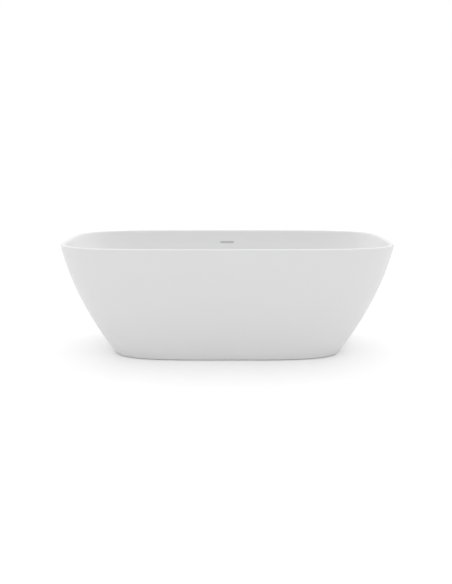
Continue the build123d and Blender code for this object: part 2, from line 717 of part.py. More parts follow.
def make_click_cartridge():
    """The sleeve that guides the stem, hung by its shoulder on the waste's cross."""
    with BuildPart() as click_cartridge:
        with BuildSketch(Plane.XY.offset(CARTRIDGE_LOW)):
            Circle(CARTRIDGE_RADIUS)
        extrude(amount=CARTRIDGE_HIGH - CARTRIDGE_LOW)
        with BuildSketch(Plane.XY.offset(HUB_TOP)):
            Circle(CARTRIDGE_SHOULDER)
        extrude(amount=CARTRIDGE_SHOULDER_HEIGHT)
        with BuildSketch(Plane.XY.offset(SPRING_LOW)):
            Circle(CARTRIDGE_BORE)
        extrude(amount=CARTRIDGE_HIGH - CARTRIDGE_END - SPRING_LOW, mode=Mode.SUBTRACT)
        with BuildSketch(Plane.XY.offset(SPRING_LOW)):
            Circle(STEM_RADIUS + STEM_CLEARANCE)
        extrude(amount=CARTRIDGE_HIGH - SPRING_LOW, mode=Mode.SUBTRACT)
    save(click_cartridge, "click_cartridge")


def make_click_spring():
    """The coil under the piston."""
    ends = SPRING_WIRE + SCREW_CLEARANCE
    height = SPRING_LENGTH - 2 * ends
    with BuildPart() as click_spring:
        with BuildLine(Plane.XY.offset(SPRING_LOW + ends)) as coil:
            Helix(height / SPRING_TURNS, height, SPRING_RADIUS)
        with BuildSketch(Plane(coil.line @ 0, z_dir=coil.line % 0)):
            Circle(SPRING_WIRE)
        sweep(is_frenet=True)
    save(click_spring, "click_spring")


def make_overflow_trim():
    """The metal sleeve in the slot, with its thin lip and the baffle set back inside."""
    with BuildPart() as overflow_trim:
        with BuildSketch(SLOT_PLANE):
            RectangleRounded(
                SLOT_LENGTH + 2 * TRIM_LIP, SLOT_HEIGHT + 2 * TRIM_LIP, SLOT_CORNER + TRIM_LIP
            )
        extrude(amount=TRIM_LIP_THICKNESS)
        with BuildSketch(SLOT_PLANE):
            RectangleRounded(SLOT_LENGTH, SLOT_HEIGHT, SLOT_CORNER)
        extrude(amount=-TRIM_DEPTH)
        with BuildSketch(SLOT_PLANE.offset(TRIM_LIP_THICKNESS)):
            RectangleRounded(
                SLOT_LENGTH - 2 * TRIM_WALL,
                SLOT_HEIGHT - 2 * TRIM_WALL,
                SLOT_CORNER - TRIM_WALL + 0.4,
            )
        extrude(amount=-TRIM_LIP_THICKNESS - TRIM_DEPTH, mode=Mode.SUBTRACT)
        with BuildSketch(SLOT_PLANE.offset(-BAFFLE_SETBACK)):
            Rectangle(SLOT_LENGTH - TRIM_WALL, BAFFLE_HEIGHT)
        extrude(amount=-BAFFLE_THICKNESS)
    save(overflow_trim, "overflow_trim")


def make_overflow_gasket(basin_outside):
    """The seal between the housing and the back of the basin's wall, fitted to that wall."""
    with BuildPart() as overflow_gasket:
        with BuildSketch(SLOT_PLANE.offset(GASKET_BACK)):
            with Locations((0, (HOUSING_TOP - HOUSING_BOTTOM) / 2)):
                RectangleRounded(2 * HOUSING_HALF_LENGTH, HOUSING_TOP + HOUSING_BOTTOM, 3.0)
            RectangleRounded(
                SLOT_LENGTH + 2 * SLOT_CLEARANCE,
                SLOT_HEIGHT + 2 * SLOT_CLEARANCE,
                SLOT_CORNER,
                mode=Mode.SUBTRACT,
            )
            with Locations((-EAR_SCREW_X, 0), (EAR_SCREW_X, 0)):
                Circle(EAR_SCREW_RADIUS + SCREW_CLEARANCE, mode=Mode.SUBTRACT)
        extrude(amount=OVERFLOW_GASKET + 0.3)
        add(basin_outside, mode=Mode.SUBTRACT)
    save(overflow_gasket, "overflow_gasket")


def make_overflow_housing():
    """The hollow housing behind the slot, with its spigot down to the hose."""
    tall = HOUSING_TOP + HOUSING_BOTTOM
    middle = (HOUSING_TOP - HOUSING_BOTTOM) / 2
    spout = SLOT_PLANE.offset(SPIGOT_LINE)
    spout_down = Plane(
        spout.from_local_coords((0, -HOUSING_BOTTOM, 0)),
        x_dir=(1, 0, 0),
        z_dir=(0, -sin(SLOT_TILT), -cos(SLOT_TILT)),
    )
    with BuildPart() as overflow_housing:
        with BuildSketch(SLOT_PLANE.offset(GASKET_BACK)):
            with Locations((0, middle)):
                RectangleRounded(2 * HOUSING_HALF_LENGTH, tall, 3.0)
        extrude(amount=-EAR_THICKNESS)
        with BuildSketch(SLOT_PLANE.offset(GASKET_BACK)):
            with Locations((0, middle)):
                Rectangle(2 * HOUSING_CAVITY_HALF, tall)
        extrude(amount=-HOUSING_DEPTH)
        with BuildSketch(spout_down.offset(-2 * HOUSING_WALL)):
            Circle(SPIGOT_RADIUS)
        extrude(amount=SPIGOT_LENGTH + 2 * HOUSING_WALL)
        # Hollow the body, then the spigot.
        with BuildSketch(SLOT_PLANE.offset(GASKET_BACK)):
            with Locations((0, middle)):
                Rectangle(
                    2 * (HOUSING_CAVITY_HALF - HOUSING_WALL), tall - 2 * HOUSING_WALL
                )
        extrude(amount=HOUSING_WALL - HOUSING_DEPTH, mode=Mode.SUBTRACT)
        with BuildSketch(SLOT_PLANE.offset(GASKET_BACK)):
            Rectangle(SLOT_LENGTH + 1, SLOT_HEIGHT + 1)
        extrude(amount=-EAR_THICKNESS, mode=Mode.SUBTRACT)
        with BuildSketch(spout_down.offset(-HOUSING_WALL)):
            Circle(SPIGOT_BORE)
        extrude(amount=SPIGOT_LENGTH + HOUSING_WALL, mode=Mode.SUBTRACT)
        with BuildSketch(SLOT_PLANE.offset(GASKET_BACK)):
            with Locations((-EAR_SCREW_X, 0), (EAR_SCREW_X, 0)):
                Circle(EAR_SCREW_RADIUS + SCREW_CLEARANCE)
        extrude(amount=-EAR_THICKNESS, mode=Mode.SUBTRACT)
    save(overflow_housing, "overflow_housing")


def make_overflow_screws():
    """The two screws through the housing's ears into the basin's wall."""
    ear_back = SLOT_PLANE.offset(GASKET_BACK - EAR_THICKNESS)
    shank = EAR_THICKNESS + OVERFLOW_GASKET + EAR_SCREW_BITE
    screws = [
        make_screw(ear_back.from_local_coords((x, 0, 0)), ear_back.z_dir, shank, 4.0, EAR_SCREW_RADIUS)
        for x in (-EAR_SCREW_X, EAR_SCREW_X)
    ]
    with BuildPart() as overflow_screws:
        add(screws)
    save(overflow_screws, "overflow_screws")


def hose_points():
    """The hose's start on the housing's spigot, its one corner, and its end on the collar's spigot."""
    spout = SLOT_PLANE.offset(SPIGOT_LINE)
    spigot_end = -HOUSING_BOTTOM - SPIGOT_LENGTH
    start = spout.from_local_coords((0, spigot_end + HOSE_OVERLAP, 0))
    down = Vector(0, -sin(SLOT_TILT), -cos(SLOT_TILT))
    corner = start + down * ((start.Z - INLET_Z) / cos(SLOT_TILT))
    end = Vector(0, INLET_REACH - HOSE_OVERLAP, INLET_Z)
    return start, corner, end


def make_overflow_hose():
    """The hose from the housing down between the skins to the collar."""
    start, corner, end = hose_points()
    with BuildPart() as overflow_hose:
        with BuildLine() as route:
            FilletPolyline(start, corner, end, radius=HOSE_BEND)
        with BuildSketch(Plane(route.line @ 0, x_dir=(1, 0, 0), z_dir=route.line % 0)):
            Circle(HOSE_OUTER)
            Circle(HOSE_BORE, mode=Mode.SUBTRACT)
        sweep()
    save(overflow_hose, "overflow_hose")


def make_hose_clamp(name, place, along, block_side):
    """A worm-drive band round a hose end, with the block of its screw."""
    band = HOSE_OUTER + CLAMP_BAND
    ring_plane = Plane(place, x_dir=block_side, z_dir=along).offset(-CLAMP_WIDTH / 2)
    with BuildPart() as hose_clamp:
        with BuildSketch(ring_plane):
            Circle(band)
            with Locations((band + CLAMP_BLOCK / 2 - 0.6, 0)):
                Rectangle(CLAMP_BLOCK, CLAMP_BLOCK + 4)
            Circle(HOSE_OUTER, mode=Mode.SUBTRACT)
        extrude(amount=CLAMP_WIDTH)
    save(hose_clamp, name)


def make_hose_clamps():
    """The clamps at the two ends of the hose."""
    start, corner, end = hose_points()
    down = (corner - start).normalized()
    inward = (end - corner).normalized()
    make_hose_clamp("hose_clamp_upper", start + down * CLAMP_FROM_END, down, (1, 0, 0))
    make_hose_clamp("hose_clamp_lower", end - inward * CLAMP_FROM_END, inward, (0, 0, -1))


os.makedirs("parts", exist_ok=True)
make_outer_skirt()
basin_body = make_basin_outside()
make_inner_basin(basin_body)
make_base_board()
for bar_name, bar_x in zip(BAR_NAMES, BAR_PLACES):
    make_support_bar(f"support_bar_{bar_name}", bar_x)
make_bar_end_caps()
make_board_screws()
for number, (bracket_x, bracket_side) in enumerate(BRACKET_SPOTS, 1):
    make_skirt_bracket(f"skirt_bracket_{number}", bracket_x, bracket_side)
make_bracket_screws()
make_nuts("weld_nuts", BAR_BOTTOM)
make_nuts("lock_nuts", BAR_BOTTOM - NUT_HEIGHT)
for number, (foot_x, foot_y) in enumerate(FOOT_SPOTS, 1):
    make_foot_stud(f"foot_stud_{number}", foot_x, foot_y)
    make_foot_pad(f"foot_pad_{number}", foot_x, foot_y)
make_waste_flange()
make_gasket("waste_top_gasket", RECESS_Z, TOP_GASKET, FLANGE_RADIUS - 0.5)
make_gasket("waste_bottom_gasket", COLLAR_TOP, COLLAR_GASKET, GASKET_RADIUS)
make_gasket("collar_gasket", WASTE_NUT_TOP, LOWER_GASKET, GASKET_RADIUS)
make_overflow_collar()
make_waste_nut()
make_plug_cap()
make_plug_seal()
make_plug_stem()
make_click_cartridge()
make_click_spring()
make_overflow_trim()
make_overflow_gasket(basin_body)
make_overflow_housing()
make_overflow_screws()
make_overflow_hose()
make_hose_clamps()
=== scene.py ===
"""Freestanding double-skinned bathtub: its finishes, its fine pieces and a plain studio."""

import math
from collections import namedtuple

import bmesh
import bpy
from mathutils import Matrix, Vector


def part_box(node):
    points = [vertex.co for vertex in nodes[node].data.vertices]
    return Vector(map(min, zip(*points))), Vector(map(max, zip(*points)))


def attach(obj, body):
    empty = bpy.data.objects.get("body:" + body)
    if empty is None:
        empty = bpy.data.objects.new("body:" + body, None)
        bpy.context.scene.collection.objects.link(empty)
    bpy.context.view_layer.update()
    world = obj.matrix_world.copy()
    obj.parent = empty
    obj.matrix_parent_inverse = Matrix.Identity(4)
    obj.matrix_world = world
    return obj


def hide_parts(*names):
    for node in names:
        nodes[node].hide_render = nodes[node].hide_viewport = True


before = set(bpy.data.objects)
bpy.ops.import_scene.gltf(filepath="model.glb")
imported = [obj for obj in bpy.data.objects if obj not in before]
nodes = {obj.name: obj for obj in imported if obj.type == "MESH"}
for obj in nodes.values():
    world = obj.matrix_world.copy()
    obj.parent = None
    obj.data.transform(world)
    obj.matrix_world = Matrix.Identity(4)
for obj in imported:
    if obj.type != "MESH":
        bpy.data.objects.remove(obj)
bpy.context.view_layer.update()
scene = bpy.context.scene


# Node groups shared by the finishes


def new_group(name, inputs, outputs):
    """A shader node group with named sockets and its group input and output nodes."""
    group = bpy.data.node_groups.new(name, "ShaderNodeTree")
    for label, kind, value in inputs:
        socket = group.interface.new_socket(label, in_out="INPUT", socket_type=kind)
        socket.default_value = value
    for label, kind in outputs:
        group.interface.new_socket(label, in_out="OUTPUT", socket_type=kind)
    entry = group.nodes.new("NodeGroupInput")
    leave = group.nodes.new("NodeGroupOutput")
    return group, entry, leave


def math_node(tree, operation, first, second):
    """A Math node fed by sockets or numbers."""
    node = tree.nodes.new("ShaderNodeMath")
    node.operation = operation
    for slot, value in enumerate((first, second)):
        if isinstance(value, (int, float)):
            node.inputs[slot].default_value = value
        else:
            tree.links.new(value, node.inputs[slot])
    return node.outputs[0]


def noise_node(tree, place, scale, detail):
    """A Noise Texture read at place, with its scale from a socket."""
    node = tree.nodes.new("ShaderNodeTexNoise")
    node.inputs["Detail"].default_value = detail
    tree.links.new(place, node.inputs["Vector"])
    tree.links.new(scale, node.inputs["Scale"])
    return node.outputs["Fac"]


def build_mottle():
    """Slow cloudy variation: tints a colour and shifts a roughness a little."""
    group, entry, leave = new_group(
        "mottle",
        [
            ("Color", "NodeSocketColor", (0.8, 0.8, 0.8, 1)),
            ("Roughness", "NodeSocketFloat", 0.5),
            ("Scale", "NodeSocketFloat", 4.0),
            ("Color Amount", "NodeSocketFloat", 0.03),
            ("Rough Amount", "NodeSocketFloat", 0.05),
        ],
        [("Color", "NodeSocketColor"), ("Roughness", "NodeSocketFloat")],
    )
    place = group.nodes.new("ShaderNodeTexCoord").outputs["Object"]
    cloud = noise_node(group, place, entry.outputs["Scale"], 4.0)
    centred = math_node(group, "SUBTRACT", cloud, 0.5)
    shade = math_node(group, "MULTIPLY", centred, entry.outputs["Color Amount"])
    value = math_node(group, "ADD", shade, 1.0)
    tint = group.nodes.new("ShaderNodeVectorMath")
    tint.operation = "SCALE"
    group.links.new(entry.outputs["Color"], tint.inputs[0])
    group.links.new(value, tint.inputs["Scale"])
    shift = math_node(group, "MULTIPLY", centred, entry.outputs["Rough Amount"])
    rough = math_node(group, "ADD", shift, entry.outputs["Roughness"])
    group.links.new(tint.outputs[0], leave.inputs["Color"])
    group.links.new(rough, leave.inputs["Roughness"])
    return group


def build_grain():
    """Fine all-over relief, stretched along any axis, as a height for a Bump node."""
    group, entry, leave = new_group(
        "grain",
        [
            ("Stretch", "NodeSocketVector", (1, 1, 1)),
            ("Scale", "NodeSocketFloat", 900.0),
        ],
        [("Height", "NodeSocketFloat")],
    )
    place = group.nodes.new("ShaderNodeTexCoord").outputs["Object"]
    stretch = group.nodes.new("ShaderNodeVectorMath")
    stretch.operation = "MULTIPLY"
    group.links.new(place, stretch.inputs[0])
    group.links.new(entry.outputs["Stretch"], stretch.inputs[1])
    fine = noise_node(group, stretch.outputs[0], entry.outputs["Scale"], 3.0)
    group.links.new(fine, leave.inputs["Height"])
    return group


def build_flakes():
    """Irregular flakes or crystals, each a blend of a dark, a light and a middle shade."""
    group, entry, leave = new_group(
        "flakes",
        [
            ("Dark", "NodeSocketColor", (0.3, 0.3, 0.3, 1)),
            ("Light", "NodeSocketColor", (0.7, 0.7, 0.7, 1)),
            ("Middle", "NodeSocketColor", (0.5, 0.5, 0.5, 1)),
            ("Scale", "NodeSocketFloat", 100.0),
            ("Wander", "NodeSocketFloat", 0.005),
            ("Stretch", "NodeSocketVector", (1, 1, 1)),
        ],
        [("Color", "NodeSocketColor")],
    )
    place = group.nodes.new("ShaderNodeTexCoord").outputs["Object"]
    stretched = group.nodes.new("ShaderNodeVectorMath")
    stretched.operation = "MULTIPLY"
    group.links.new(place, stretched.inputs[0])
    group.links.new(entry.outputs["Stretch"], stretched.inputs[1])
    drift = group.nodes.new("ShaderNodeTexNoise")
    group.links.new(entry.outputs["Scale"], drift.inputs["Scale"])
    group.links.new(stretched.outputs[0], drift.inputs["Vector"])
    pushed = group.nodes.new("ShaderNodeVectorMath")
    pushed.operation = "SCALE"
    group.links.new(drift.outputs["Color"], pushed.inputs[0])
    group.links.new(entry.outputs["Wander"], pushed.inputs["Scale"])
    ragged = group.nodes.new("ShaderNodeVectorMath")
    ragged.operation = "ADD"
    group.links.new(stretched.outputs[0], ragged.inputs[0])
    group.links.new(pushed.outputs[0], ragged.inputs[1])
    cells = group.nodes.new("ShaderNodeTexVoronoi")
    group.links.new(entry.outputs["Scale"], cells.inputs["Scale"])
    group.links.new(ragged.outputs[0], cells.inputs["Vector"])
    lots = group.nodes.new("ShaderNodeSeparateColor")
    group.links.new(cells.outputs["Color"], lots.inputs[0])
    shade = entry.outputs["Dark"]
    for lot, label in ((lots.outputs[0], "Light"), (lots.outputs[1], "Middle")):
        blend = group.nodes.new("ShaderNodeMix")
        blend.data_type = "RGBA"
        group.links.new(lot, blend.inputs["Factor"])
        group.links.new(shade, blend.inputs["A"])
        group.links.new(entry.outputs[label], blend.inputs["B"])
        shade = blend.outputs["Result"]
    group.links.new(shade, leave.inputs["Color"])
    return group


MOTTLE = build_mottle()
GRAIN = build_grain()
FLAKES = build_flakes()


# A finish's cloudy variation: how fine it is, and how far it shifts colour and roughness.
Mottle = namedtuple("Mottle", "scale tint rough")
# A finish's fine relief: how fine, how strong and how deep (metres) it is, and its stretch by axis.
Grain = namedtuple("Grain", "scale strength depth stretch")
EVEN = (1, 1, 1)


def new_finish(name, color, roughness, metallic=0.0, *, mottle, grain=None):
    """A Principled material with mottled colour and roughness and, if asked, a fine grain."""
    finish = bpy.data.materials.new(name)
    finish.use_nodes = True
    tree = finish.node_tree
    shader = tree.nodes["Principled BSDF"]
    shader.inputs["Metallic"].default_value = metallic
    cloud = tree.nodes.new("ShaderNodeGroup")
    cloud.node_tree = MOTTLE
    cloud.inputs["Color"].default_value = (*color, 1)
    cloud.inputs["Roughness"].default_value = roughness
    cloud.inputs["Scale"].default_value = mottle.scale
    cloud.inputs["Color Amount"].default_value = mottle.tint
    cloud.inputs["Rough Amount"].default_value = mottle.rough
    tree.links.new(cloud.outputs["Color"], shader.inputs["Base Color"])
    tree.links.new(cloud.outputs["Roughness"], shader.inputs["Roughness"])
    if grain:
        relief = tree.nodes.new("ShaderNodeGroup")
        relief.node_tree = GRAIN
        relief.inputs["Scale"].default_value = grain.scale
        relief.inputs["Stretch"].default_value = grain.stretch
        bump = tree.nodes.new("ShaderNodeBump")
        bump.inputs["Strength"].default_value = grain.strength
        bump.inputs["Distance"].default_value = grain.depth
        tree.links.new(relief.outputs["Height"], bump.inputs["Height"])
        tree.links.new(bump.outputs["Normal"], shader.inputs["Normal"])
    return finish


# How far a flake's edge strays, as a share of a flake.
FLAKE_WANDER = 0.5


def add_flakes(finish, scale, stretch, dark, light, middle):
    """Break a finish's colour up into irregular flakes of three shades."""
    tree = finish.node_tree
    broken = tree.nodes.new("ShaderNodeGroup")
    broken.node_tree = FLAKES
    broken.inputs["Scale"].default_value = scale
    broken.inputs["Wander"].default_value = FLAKE_WANDER / scale
    broken.inputs["Stretch"].default_value = stretch
    for label, shade in (("Dark", dark), ("Light", light), ("Middle", middle)):
        broken.inputs[label].default_value = (*shade, 1)
    cloud = next(node for node in tree.nodes if node.type == "GROUP" and node.node_tree == MOTTLE)
    tree.links.new(broken.outputs["Color"], cloud.inputs["Color"])


def dress(finish, *names):
    """Give CAD nodes a finish."""
    for name in names:
        slots = nodes[name].data.materials
        slots.clear()
        slots.append(finish)


satin_acrylic = new_finish(
    "satin_acrylic", (0.80, 0.805, 0.80), 0.42,
    mottle=Mottle(2.5, 0.012, 0.04), grain=Grain(420, 0.03, 0.0002, EVEN),
)
satin_acrylic.node_tree.nodes["Principled BSDF"].inputs["IOR"].default_value = 1.49
chipboard = new_finish(
    "chipboard", (0.50, 0.36, 0.22), 0.8,
    mottle=Mottle(160, 0.9, 0.1), grain=Grain(500, 0.5, 0.0006, EVEN),
)
add_flakes(
    chipboard, 300, (1, 0.55, 1),
    dark=(0.34, 0.22, 0.12), light=(0.68, 0.54, 0.36), middle=(0.48, 0.34, 0.20),
)
galvanised_steel = new_finish(
    "galvanised_steel", (0.52, 0.54, 0.56), 0.42, 1.0,
    mottle=Mottle(70, 0.35, 0.25), grain=Grain(300, 0.2, 0.0002, EVEN),
)
add_flakes(
    galvanised_steel, 90, EVEN,
    dark=(0.44, 0.46, 0.48), light=(0.64, 0.66, 0.68), middle=(0.54, 0.56, 0.58),
)
zinc_steel = new_finish(
    "zinc_steel", (0.60, 0.60, 0.57), 0.32, 1.0,
    mottle=Mottle(60, 0.15, 0.15), grain=Grain(800, 0.15, 0.0001, EVEN),
)
black_plastic = new_finish(
    "black_plastic", (0.022, 0.022, 0.024), 0.5,
    mottle=Mottle(40, 0.2, 0.1), grain=Grain(1500, 0.3, 0.0001, EVEN),
)
pad_plastic = new_finish(
    "pad_plastic", (0.035, 0.035, 0.037), 0.6,
    mottle=Mottle(40, 0.2, 0.1), grain=Grain(1200, 0.4, 0.0002, EVEN),
)
chrome_plate = new_finish(
    "chrome_plate", (0.78, 0.79, 0.80), 0.08, 1.0, mottle=Mottle(20, 0.03, 0.05)
)
trim_steel = new_finish(
    "trim_steel", (0.66, 0.68, 0.68), 0.5, 1.0,
    mottle=Mottle(30, 0.08, 0.1), grain=Grain(900, 0.15, 0.0001, (0.03, 1, 1)),
)
black_rubber = new_finish(
    "black_rubber", (0.018, 0.018, 0.018), 0.8,
    mottle=Mottle(60, 0.2, 0.1), grain=Grain(1800, 0.4, 0.0001, EVEN),
)
turned_brass = new_finish(
    "turned_brass", (0.62, 0.43, 0.17), 0.25, 1.0,
    mottle=Mottle(50, 0.1, 0.1), grain=Grain(1500, 0.2, 0.0001, (1, 1, 6)),
)
white_plastic = new_finish(
    "white_plastic", (0.62, 0.62, 0.60), 0.45,
    mottle=Mottle(30, 0.05, 0.1), grain=Grain(1200, 0.2, 0.0001, EVEN),
)
stainless_steel = new_finish(
    "stainless_steel", (0.60, 0.60, 0.59), 0.25, 1.0,
    mottle=Mottle(40, 0.08, 0.1), grain=Grain(1500, 0.15, 0.0001, EVEN),
)

FEET = range(1, 7)
dress(satin_acrylic, "outer_skirt", "inner_basin")
dress(chipboard, "base_board")
dress(galvanised_steel, "support_bar_left", "support_bar_middle", "support_bar_right")
dress(galvanised_steel, *[f"skirt_bracket_{k}" for k in FEET])
dress(zinc_steel, "board_screws", "bracket_screws", "weld_nuts", "lock_nuts")
dress(zinc_steel, *[f"foot_stud_{k}" for k in FEET])
dress(black_plastic, "bar_end_caps", "overflow_collar", "waste_nut", "overflow_housing")
dress(pad_plastic, *[f"foot_pad_{k}" for k in FEET])
dress(chrome_plate, "waste_flange", "plug_cap")
dress(trim_steel, "overflow_trim")
dress(black_rubber, "waste_top_gasket", "waste_bottom_gasket", "collar_gasket")
dress(black_rubber, "plug_seal", "overflow_gasket")
dress(turned_brass, "plug_stem")
dress(white_plastic, "click_cartridge", "overflow_hose")
dress(stainless_steel, "click_spring", "overflow_screws", "hose_clamp_upper", "hose_clamp_lower")


# Sizes of the tub in metres, as it is made


LENGTH, WIDTH, HEIGHT = 1.700, 0.750, 0.580
BASE_LENGTH, BASE_WIDTH = 1.200, 0.596
FLOOR_LENGTH, FLOOR_WIDTH = 1.180, 0.464
TOP_POWER, BASE_POWER, FLOOR_POWER = 4.3, 4.1, 3.4
END_BOW, SIDE_BOW, INNER_END_BOW = 0.036, 0.012, 0.018
SKIRT_TOP, SKIRT_FOOT = 0.574, 0.0035
SKIRT_WALL = 0.007
SKIRT_EDGE_RISE, SKIRT_EDGE_INSET = 0.005, 0.003
HEM_TOP, HEM_WIDTH = 0.0095, 0.030
RIM_BAND = 0.024
BASIN_WALL = 0.0065
FLOOR_TOP, FLOOR_UNDER, DRAIN_TOP = 0.150, 0.130, 0.143

# How finely an outline, the walls and the floor's fall are divided.
OUTLINE_STEPS, WALL_STEPS, BEHIND_STEPS, WELL_STEPS, FALL_STEPS = 256, 20, 10, 24, 12
# How near two corners are to be one.
MERGE = 1e-6
# How closely a rounding keeps to its corner, from 0 for a straight cut.
CORNER_PULL = 0.82


def between(low, high, share):
    """The value at a share of the way from low to high."""
    return low + (high - low) * share


def heights(low, high, count):
    """Even steps from low to high, without low itself."""
    return [between(low, high, step / count) for step in range(1, count + 1)]


def outline_ring(half_x, half_y, power, inset, z):
    """Spots round an outline with rounded corners, moved inward by inset, at height z."""
    spots = []
    for step in range(OUTLINE_STEPS):
        turn = math.tau * (step + 0.5) / OUTLINE_STEPS
        c, s = math.cos(turn), math.sin(turn)
        reach = (abs(c) ** power + abs(s) ** power) ** (-1 / power)
        x, y = half_x * reach * c, half_y * reach * s
        out_x = math.copysign(abs(x / half_x) ** (power - 1) / half_x, x)
        out_y = math.copysign(abs(y / half_y) ** (power - 1) / half_y, y)
        size = math.hypot(out_x, out_y)
        spots.append(Vector((x - out_x / size * inset, y - out_y / size * inset, z)))
    return spots


def skirt_ring(z, inset=0.0):
    """The outer wall's outline at height z."""
    share = max(SKIRT_TOP - z, 0.0) / SKIRT_TOP
    belly = 4 * share * (1 - share)
    half_x = between(LENGTH, BASE_LENGTH, share) / 2 + END_BOW * belly
    half_y = between(WIDTH, BASE_WIDTH, share) / 2 + SIDE_BOW * belly
    return outline_ring(half_x, half_y, between(TOP_POWER, BASE_POWER, share), inset, z)


def basin_ring(z, inset=0.0):
    """The bathing well's outline at height z."""
    share = (HEIGHT - z) / (HEIGHT - FLOOR_TOP)
    belly = 4 * share * (1 - share)
    half_x = between(LENGTH, FLOOR_LENGTH, share) / 2 + INNER_END_BOW * belly
    half_y = between(WIDTH, FLOOR_WIDTH, share) / 2
    power = between(TOP_POWER, FLOOR_POWER, share)
    return outline_ring(half_x, half_y, power, between(RIM_BAND, 0.0, share) + inset, z)


def oval_ring(half_x, half_y, z):
    """A plain oval or circle at height z."""
    return outline_ring(half_x, half_y, 2.0, 0.0, z)


def rounded(start, corner, end, steps):
    """Rings that turn softly from the start ring, past the corner ring, to the end ring."""
    rings = []
    for step in range(steps + 1):
        share = step / steps
        first, middle, last = (1 - share) ** 2, 2 * CORNER_PULL * share * (1 - share), share**2
        total = first + middle + last
        rings.append(
            [(a * first + b * middle + c * last) / total for a, b, c in zip(start, corner, end)]
        )
    return rings


def grow_ring(shape, ring, spots):
    """Extrude a ring of corners to new spots and give the new ring back in the same order."""
    members = set(ring)
    links = ((edge, corner) for corner in ring for edge in corner.link_edges)
    around = dict.fromkeys(edge for edge, corner in links if edge.other_vert(corner) in members)
    grown = bmesh.ops.extrude_edge_only(shape, edges=list(around))["geom"]
    fresh = {item for item in grown if isinstance(item, bmesh.types.BMVert)}
    following = []
    for corner, spot in zip(ring, spots):
        for edge in corner.link_edges:
            if edge.other_vert(corner) in fresh:
                following.append(edge.other_vert(corner))
                break
        following[-1].co = spot
    return following


def walk_rings(rings):
    """A closed skin drawn through rings of spots in turn, and from the last to the first."""
    shape = bmesh.new()
    circle = bmesh.ops.create_circle(shape, cap_ends=False, segments=len(rings[0]), radius=1)
    ring = sorted(circle["verts"], key=lambda corner: math.atan2(corner.co.y, corner.co.x))
    for corner, spot in zip(ring, rings[0]):
        corner.co = spot
    for spots in rings[1:] + rings[:1]:
        ring = grow_ring(shape, ring, spots)
    bmesh.ops.remove_doubles(shape, verts=shape.verts, dist=MERGE)
    return shape


def set_piece(name, shape, finish, body, stands_for, crease=35):
    """Make a shape a piece with its finish, riding on its body in place of a CAD node."""
    bmesh.ops.recalc_face_normals(shape, faces=shape.faces)
    mesh = bpy.data.meshes.new(name)
    shape.to_mesh(mesh)
    shape.free()
    mesh.shade_smooth()
    mesh.set_sharp_from_angle(angle=math.radians(crease))
    mesh.materials.append(finish)
    piece = bpy.data.objects.new(name, mesh)
    scene.collection.objects.link(piece)
    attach(piece, body)
    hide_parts(stands_for)


# The two acrylic shells


def make_skirt_shell():
    """The outer wall: hem, tight foot edge, bellied wall, and its inner face back to the hem."""
    edge_top = SKIRT_FOOT + SKIRT_EDGE_RISE
    foot = rounded(
        skirt_ring(SKIRT_FOOT, SKIRT_EDGE_INSET),
        skirt_ring(SKIRT_FOOT),
        skirt_ring(edge_top),
        steps=5,
    )
    wall = [skirt_ring(z) for z in heights(edge_top, SKIRT_TOP, WALL_STEPS)]
    downward = [SKIRT_TOP, *heights(SKIRT_TOP, HEM_TOP, BEHIND_STEPS)]
    inner = [skirt_ring(z, SKIRT_WALL) for z in downward]
    hem_under, hem_over = skirt_ring(SKIRT_FOOT, HEM_WIDTH), skirt_ring(HEM_TOP, HEM_WIDTH)
    shape = walk_rings([hem_under, *foot, *wall, *inner, hem_over])
    set_piece("skirt_shell", shape, satin_acrylic, "tub", "outer_skirt")


# The overflow slot lies in the back wall, in a frame whose Z points out of the wall's face.
SLOT_PLACE = Vector((0, 0.3322, 0.512))
SLOT_TILT = math.radians(15.47)
SLOT_FRAME = Matrix.Translation(SLOT_PLACE) @ Matrix.Rotation(math.radians(90) - SLOT_TILT, 4, "X")
SLOT_HALF_LENGTH, SLOT_HALF_HEIGHT = 0.0391, 0.0053
# The part of the back wall that the cuts divide, each side of the slot's middle.
WALL_HALF_LENGTH, WALL_HALF_HEIGHT, WALL_REACH = 0.08, 0.05, 0.02


def cut_overflow_slot(shape):
    """Cut the slot through both faces of the basin's back wall and join its edges."""
    inward = SLOT_FRAME.inverted()

    def near(face, half_long, half_high):
        spot = inward @ face.calc_center_median()
        return abs(spot.x) < half_long and abs(spot.y) < half_high and abs(spot.z) < WALL_REACH

    for axis, half in (
        (Vector((1, 0, 0)), SLOT_HALF_LENGTH),
        (Vector((0, 1, 0)), SLOT_HALF_HEIGHT),
    ):
        for side in (-1, 1):
            faces = [face for face in shape.faces if near(face, WALL_HALF_LENGTH, WALL_HALF_HEIGHT)]
            parts = [part for face in faces for part in (face, *face.edges, *face.verts)]
            bmesh.ops.bisect_plane(
                shape,
                geom=list(dict.fromkeys(parts)),
                plane_co=SLOT_FRAME @ (axis * half * side),
                plane_no=SLOT_FRAME.to_3x3() @ axis,
                dist=MERGE,
            )
    gone = [face for face in shape.faces if near(face, SLOT_HALF_LENGTH, SLOT_HALF_HEIGHT)]
    bmesh.ops.delete(shape, geom=gone, context="FACES")
    edges = [edge for edge in shape.edges if edge.is_boundary]
    bmesh.ops.bridge_loops(shape, edges=edges)


# Where the basin's roundings start and end, in metres.
RIM_OUTER_LOW, RIM_OUTER_TURN = 0.5762, 0.0038
RIM_INNER_LOW, RIM_INNER_TURN = 0.572, 0.0075
FILLET_TOP, FILLET_REACH = 0.196, 0.050
UNDER_FILLET_TOP, UNDER_REACH = 0.180, 0.048
# The fall to the waste, from its wide oval to its round edge, and the flange's seat and hole.
FALL_HALF_LENGTH, FALL_HALF_WIDTH, FALL_EDGE = 0.430, 0.150, 0.045
RECESS_RADIUS, RECESS_FLOOR, HOLE_RADIUS = 0.0365, 0.136, 0.0245


